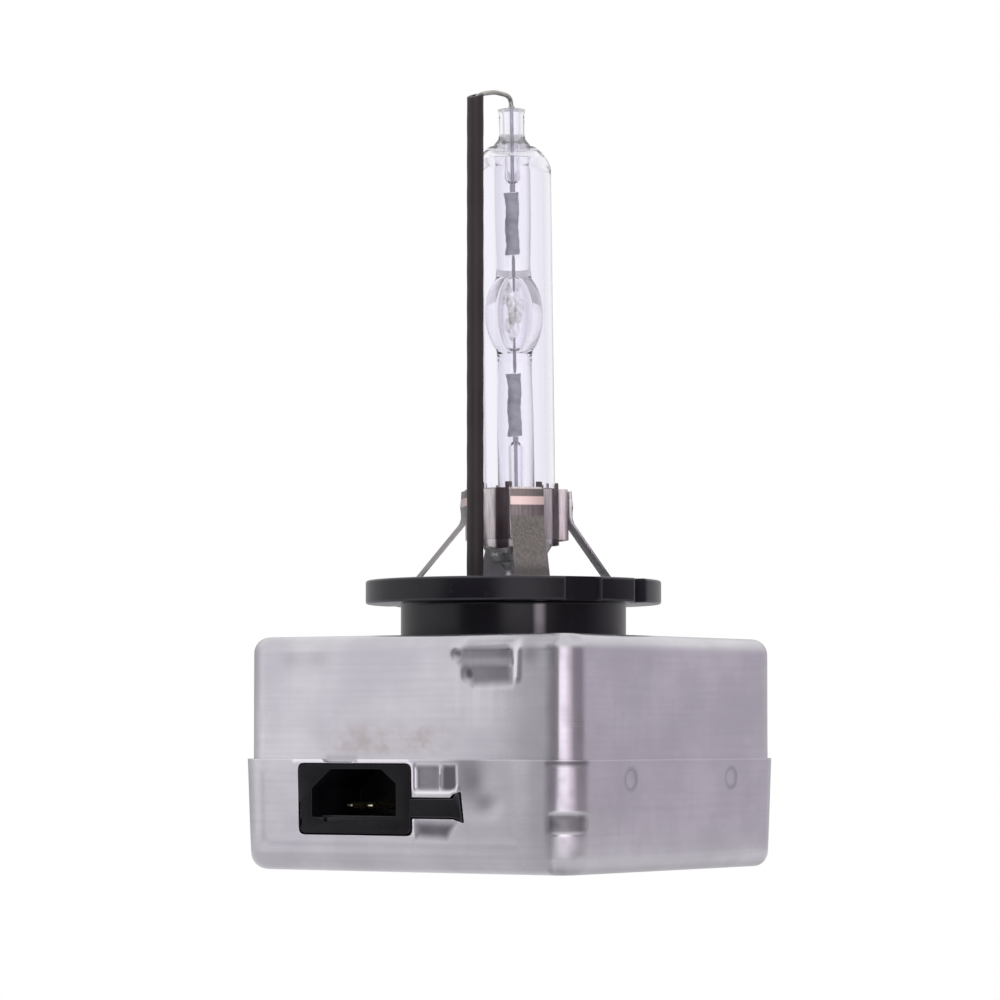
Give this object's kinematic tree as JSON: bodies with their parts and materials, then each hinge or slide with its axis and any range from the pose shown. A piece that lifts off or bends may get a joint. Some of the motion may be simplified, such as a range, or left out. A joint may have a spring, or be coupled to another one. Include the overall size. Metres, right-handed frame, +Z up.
{
  "type": "headlight bulb",
  "caption": "Gas-discharge headlight bulb with a quartz burner and return conductor on a round black cap, above a square shielded ignitor base with a side connector.",
  "frame": {"origin": "middle of the underside of the square base, on the lamp axis", "axes": "+Z up the lamp axis from the base to the burner tip, -Y towards the face with the connector, +X to the right of that face"},
  "size_m": [0.0402, 0.0402, 0.0785],
  "materials": {
    "shield_steel": "tin-plated sheet, satin, lightly stained",
    "cover_steel": "tin-plated sheet, satin, pressed",
    "cap_plastic": "black moulded thermoplastic, fine grain",
    "connector_plastic": "black moulded thermoplastic",
    "case_plastic": "black moulded thermoplastic",
    "leg_steel": "warm grey spring steel",
    "band_steel": "bright spring steel",
    "outer_quartz": "clear polished quartz",
    "inner_quartz": "clear polished quartz",
    "brown_ceramic": "unglazed dark brown",
    "nickel_wire": "drawn nickel wire",
    "molybdenum": "rolled molybdenum",
    "tungsten": "sintered tungsten",
    "halide": "yellow salt film",
    "contact_plating": "plated contact, satin",
    "copper": "bare copper strip",
    "enamelled_wire": "enamelled copper wire, wound",
    "ferrite": "sintered ferrite",
    "white_ceramic": "unglazed white",
    "bobbin_plastic": "natural moulded thermoplastic",
    "board": "green resin board",
    "film_coat": "yellow dipped coat",
    "resistor_coat": "blue lacquer"
  },
  "bodies": {
    "root": {"upper_shield_can": "shield_steel", "lower_shield_cover": "cover_steel", "ignitor_case": "case_plastic", "ignitor_case_lid": "case_plastic", "connector_shroud": "connector_plastic", "connector_pin_left": "contact_plating", "connector_pin_right": "contact_plating", "lamp_cap": "cap_plastic", "support_leg_front": "leg_steel", "support_leg_right": "leg_steel", "support_leg_back": "leg_steel", "support_leg_left": "leg_steel", "clamp_band": "band_steel", "outer_envelope": "outer_quartz", "arc_tube": "inner_quartz", "upper_electrode": "tungsten", "lower_electrode": "tungsten", "upper_foil": "molybdenum", "lower_foil": "molybdenum", "upper_lead": "molybdenum", "lower_lead": "molybdenum", "halide_salts": "halide", "return_wire": "nickel_wire", "return_insulator_tube": "brown_ceramic", "carrier_plate": "board", "transformer_core": "ferrite", "transformer_bobbin": "bobbin_plastic", "secondary_winding_1": "enamelled_wire", "secondary_winding_2": "enamelled_wire", "secondary_winding_3": "enamelled_wire", "secondary_winding_4": "enamelled_wire", "primary_winding": "copper", "spark_gap_body": "white_ceramic", "spark_gap_cap_left": "nickel_wire", "spark_gap_cap_right": "nickel_wire", "ignition_capacitor": "film_coat", "bleed_resistor": "resistor_coat", "high_voltage_terminal": "nickel_wire", "high_voltage_link": "copper", "return_terminal": "copper"}
  },
  "joints": []
}
